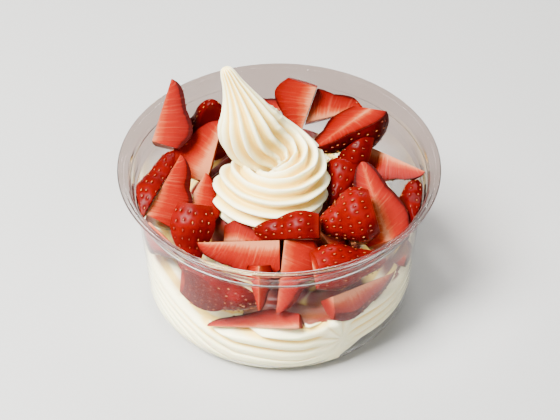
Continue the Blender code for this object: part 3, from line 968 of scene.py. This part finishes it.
def piece_sheets(piece):
    """Share, depth, turn, grid shape, winding and finish of the four sheets of a piece."""
    rows = int(piece.length * 1.15 / FLESH_STEP)
    arcs = max(int(2.0 * piece.half_span * piece.radius / FLESH_STEP), 12)
    valley_shade = max(int(piece.radius / (FLESH_STEP * 1.3)), 8)
    half = piece.half_span
    u, v = sheet(rows, arcs)
    run = np.sin(0.5 * np.pi * u)
    yield run, np.ones_like(v), (2.0 * v - 1.0) * half, (rows, arcs), True, 0
    u, v = sheet(rows, valley_shade)
    run = np.sin(0.5 * np.pi * u)
    yield run, v, np.full_like(v, half), (rows, valley_shade), True, 1
    yield run, v, np.full_like(v, -half), (rows, valley_shade), False, 1
    u, v = sheet(valley_shade, arcs)
    yield np.zeros_like(u), u, (2.0 * v - 1.0) * half, (valley_shade, arcs), False, 1


def make_piece(row, finishes, rng):
    piece = Piece(*row)
    spots = seed_spots(piece, rng)
    points, faces, finish_of = [], [], []
    start = 0
    for share, depth, turn, shape, flip, finish in piece_sheets(piece):
        places = piece.place(share, depth, turn)
        sink = np.where(depth > 0.999, dimples(piece, share, turn, spots), 0.0)
        if finish == 1:
            sink = sink * 0.0
        lumps = np.array([noise.noise(Vector(p) * LUMP_SCALE) for p in places])
        scale = depth * (LUMP_DEPTH * lumps - sink)
        reach = np.maximum(fruit_r(share, piece.radius), 0.6)
        places = piece.place(share, depth * (1.0 + scale / reach * (depth > 0.4)), turn)
        points.append(places)
        cells = grid_faces(shape[0], shape[1], start=start, flip=flip)
        faces += cells
        finish_of += [finish] * len(cells)
        start += len(places)
    points = np.concatenate(points)
    planes, middle = contact_planes(piece, press_inside_wall(points))
    points = draw_back(press_inside_wall(points), planes, middle)[0]
    data = bpy.data.meshes.new(piece.name)
    data.from_pydata((points * MM).tolist(), [], faces)
    data.polygons.foreach_set("material_index", finish_of)
    work = bmesh.new()
    work.from_mesh(data)
    bmesh.ops.remove_doubles(work, verts=work.verts[:], dist=0.01 * MM)
    work.to_mesh(data)
    work.free()
    data.shade_smooth()
    data.set_sharp_from_angle(angle=math.radians(50.0))
    made = bpy.data.objects.new(piece.name + "_piece", data)
    bpy.context.scene.collection.objects.link(made)
    share, depth, turn = piece.measure(points_of(made))
    store(made, "dimple", dimples(piece, share, turn, spots) * (depth > 0.9) / DIMPLE_DEPTH)
    store(made, "pressed", against_wall(points_of(made)))
    store(made, "share", share)
    store(made, "depth", depth)
    store(made, "turn", turn)
    store(made, "batch", np.full(len(share), rng.random()))
    for finish in finishes:
        data.materials.append(finish)
    keep(made, "strawberry", piece.name)
    return piece, made, spots, planes, middle


# %% [markdown]
# The cut flesh runs from a pale core through orange to a red line under the skin, crossed by pale fibres
# that leave the core and lean towards the tip. The skin is deep red, glossy and a little waxy, and it is
# painted darker in the dimple round each seed as painted shade. Both are darker where the fruit lies
# against the plastic: partly a film of juice, partly painted shade for fruit seen through the wall.

# %% Strawberry finishes
def make_flesh():
    flesh = Finish("strawberry_flesh")
    share, depth = flesh.attribute("share"), flesh.attribute("depth")
    turn, batch = flesh.attribute("turn"), flesh.attribute("batch")
    place = flesh.object_place()
    lean = share * 40.0 - depth * 6.0
    fan = flesh.vector(lean * 0.9, turn * 4.0 + batch * 40.0, depth * 0.7)
    fibre = flesh.noise(fan, 1.0, 3.0, 0.6)
    cloud = flesh.noise(place, 130.0, 3.0, 0.55)
    pale = 0.30 * (batch - 0.4) + 0.30 * (cloud - 0.5) + 0.40 * (fibre - 0.5) * (1.0 - depth)
    ripe = depth - pale + 0.25 * (share - 0.3)
    colour = flesh.ramp(ripe, [
        (0.02, (0.38, 0.125, 0.055)), (0.17, (0.27, 0.036, 0.009)), (0.36, (0.185, 0.005, 0.0004)),
        (0.68, (0.14, 0.002, 0.0002)), (0.92, (0.09, 0.0008, 0.0002)), (0.985, (0.025, 0.0003, 0.0001))])
    # Partly a juice film, partly painted shade: flesh against the plastic is darkened.
    colour = flesh.blend(flesh.attribute("pressed") * 0.25, colour, (0.09, 0.004, 0.001, 1.0))
    streak = fibre.between(0.52, 0.74) * (1.0 - depth) * 0.32
    colour = flesh.blend(streak, colour, (0.36, 0.11, 0.050, 1.0))
    grain = flesh.noise(place, 900.0, 3.0, 0.6)
    normal = flesh.bump(fibre, 0.30, 0.0005, flesh.bump(grain, 0.25, 0.00015))
    gloss = 0.26 + 0.22 * cloud
    return flesh.finish(flesh.node("ShaderNodeBsdfPrincipled", None, {
        "Base Color": colour, "Roughness": gloss, "Normal": normal, "IOR": 1.34,
        "Specular IOR Level": 0.07}))


def make_skin():
    skin = Finish("strawberry_skin")
    place = skin.object_place()
    share, batch = skin.attribute("share"), skin.attribute("batch")
    dimple = skin.attribute("dimple")
    cloud = skin.noise(place, 120.0, 3.0, 0.5)
    grain = skin.noise(place, 1300.0, 3.0, 0.6)
    tone = (cloud + 0.5 * (batch - 0.5)).between(0.2, 0.85)
    colour = skin.blend(tone, (0.050, 0.0002, 0.0001, 1.0), (0.118, 0.0005, 0.0001, 1.0))
    # Painted shade: the skin is darker in the dimple round each seed.
    colour = skin.blend(dimple * 0.6, colour, (0.030, 0.0002, 0.0001, 1.0))
    # Partly a juice film, partly painted shade: skin against the plastic is darkened.
    colour = skin.blend(skin.attribute("pressed") * 0.35, colour, (0.016, 0.0002, 0.0001, 1.0))
    pale = (1.0 - share).between(0.92, 1.03) * 0.3
    colour = skin.blend(pale, colour, (0.13, 0.012, 0.003, 1.0))
    normal = skin.bump(cloud, 0.2, 0.0005, skin.bump(grain, 0.25, 0.0001))
    gloss = 0.24 + 0.18 * grain
    return skin.finish(skin.node("ShaderNodeBsdfPrincipled", None, {
        "Base Color": colour, "Roughness": gloss, "Normal": normal, "IOR": 1.4,
        "Specular IOR Level": 0.06}))


# %% Make all the pieces
rng = np.random.default_rng(7)
berry_finishes = (make_skin(), make_flesh())
pieces = [make_piece(row, berry_finishes, rng) for row in BERRIES]
print("pieces made:", len(pieces))

# %% [markdown]
# A strawberry's seeds are tiny dry fruits, each lying in its own dimple with its point towards the
# tip of the berry. They are the same shape many times over, so a geometry tree makes one seed of a
# few dozen faces and puts a copy on every seed place, turned to lie flat on the skin.

# %% Where the seeds lie
SEED_LENGTH, SEED_WIDTH, SEED_THICK = 1.02, 0.62, 0.40
SEED_SINK = 0.11


def seed_places(made):
    """Places, outward directions and directions to the tip for the seeds on one piece."""
    piece, _, spots, planes, middle = made
    if not len(spots):
        return np.zeros((0, 9))
    share, turn, skin = spots[:, 0], spots[:, 1], np.ones(len(spots))
    onward = piece.place(share + 0.01, skin, turn) - piece.place(share - 0.01, skin, turn)
    round_it = piece.place(share, skin, turn + 0.02) - piece.place(share, skin, turn - 0.02)
    facing = np.cross(onward, round_it)
    facing /= np.linalg.norm(facing, axis=1)[:, None]
    uncut = piece.place(share, skin, turn)
    wanted = press_inside_wall(uncut)
    found = draw_back(wanted, planes, middle)[0]
    free = np.linalg.norm(found - wanted, axis=1) < 0.15
    pressed = np.linalg.norm(wanted - uncut, axis=1) > 0.05
    outward = wanted * (1.0, 1.0, 0.0) / np.hypot(wanted[:, 0], wanted[:, 1])[:, None]
    facing[pressed] = outward[pressed]
    middles = found - facing * SEED_SINK
    return np.concatenate([middles, facing, onward], axis=1)[free]


def seed_tree():
    tree = Growth("seed_sowing", [
        ("Length", "NodeSocketFloat"), ("Width", "NodeSocketFloat"), ("Thickness", "NodeSocketFloat"),
        ("Smallest", "NodeSocketFloat"), ("Seed", "NodeSocketInt"),
        ("Husk", "NodeSocketMaterial")])
    ball = tree.node("GeometryNodeMeshUVSphere", None, {"Segments": 8, "Rings": 5, "Radius": 0.5})
    place = tree.node("GeometryNodeInputPosition")
    x, y, z = (tree.node("ShaderNodeSeparateXYZ", None, [place], out=k) for k in range(3))
    taper = 1.0 - 0.5 * (y + 0.5)
    shaped = tree.vectors("MULTIPLY", tree.node("ShaderNodeCombineXYZ", None, [x * taper, y, z]),
                          tree.node("ShaderNodeCombineXYZ", None, [
                              tree.given("Width"), tree.given("Length"), tree.given("Thickness")]))
    seed = tree.node("GeometryNodeSetPosition", None, {"Geometry": ball, "Position": shaped})
    lie = tree.node("FunctionNodeAxesToRotation", {"primary_axis": "Z", "secondary_axis": "Y"}, {
        "Primary Axis": tree.named("facing", "FLOAT_VECTOR"),
        "Secondary Axis": tree.named("onward", "FLOAT_VECTOR")})
    size = tree.node("FunctionNodeRandomValue", {"data_type": "FLOAT"}, {
        2: tree.given("Smallest"), 3: 1.1, "Seed": tree.given("Seed")}, out=1)
    points = tree.node("GeometryNodeMeshToPoints", {"mode": "VERTICES"}, [tree.given("Geometry")])
    sown = tree.node("GeometryNodeInstanceOnPoints", None, {
        "Points": points, "Instance": seed, "Rotation": lie, "Scale": size})
    real = tree.node("GeometryNodeRealizeInstances", None, [sown])
    smooth = tree.node("GeometryNodeSetShadeSmooth", None, {"Geometry": real})
    return tree.close(tree.node("GeometryNodeSetMaterial", None, {
        "Geometry": smooth, "Material": tree.given("Husk")}))


def make_husk():
    husk = Finish("strawberry_seed")
    place = husk.object_place()
    tone = husk.noise(place, 420.0, 1.0).between(0.35, 0.65)
    colour = husk.blend(tone, (0.16, 0.012, 0.001, 1.0), (0.30, 0.075, 0.008, 1.0))
    grain = husk.noise(place, 2600.0, 2.0)
    return husk.finish(husk.node("ShaderNodeBsdfPrincipled", None, {
        "Base Color": colour, "Roughness": 0.30 + 0.2 * grain,
        "Normal": husk.bump(grain, 0.3, 0.00008), "Specular IOR Level": 0.4}))


# %% Sow the seeds
def make_seeds(pieces):
    rows = np.concatenate([seed_places(made) for made in pieces])
    data = bpy.data.meshes.new("seed_places")
    data.from_pydata((rows[:, :3] * MM).tolist(), [], [])
    seeds = bpy.data.objects.new("strawberry_seeds", data)
    bpy.context.scene.collection.objects.link(seeds)
    store(seeds, "facing", rows[:, 3:6], "FLOAT_VECTOR")
    store(seeds, "onward", rows[:, 6:9], "FLOAT_VECTOR")
    grow(seeds, seed_tree(), {
        "Length": SEED_LENGTH * MM, "Width": SEED_WIDTH * MM, "Thickness": SEED_THICK * MM,
        "Smallest": 0.75, "Seed": 11, "Husk": make_husk()})
    print("seeds:", len(rows))
    keep(seeds, "strawberry")


make_seeds(pieces)
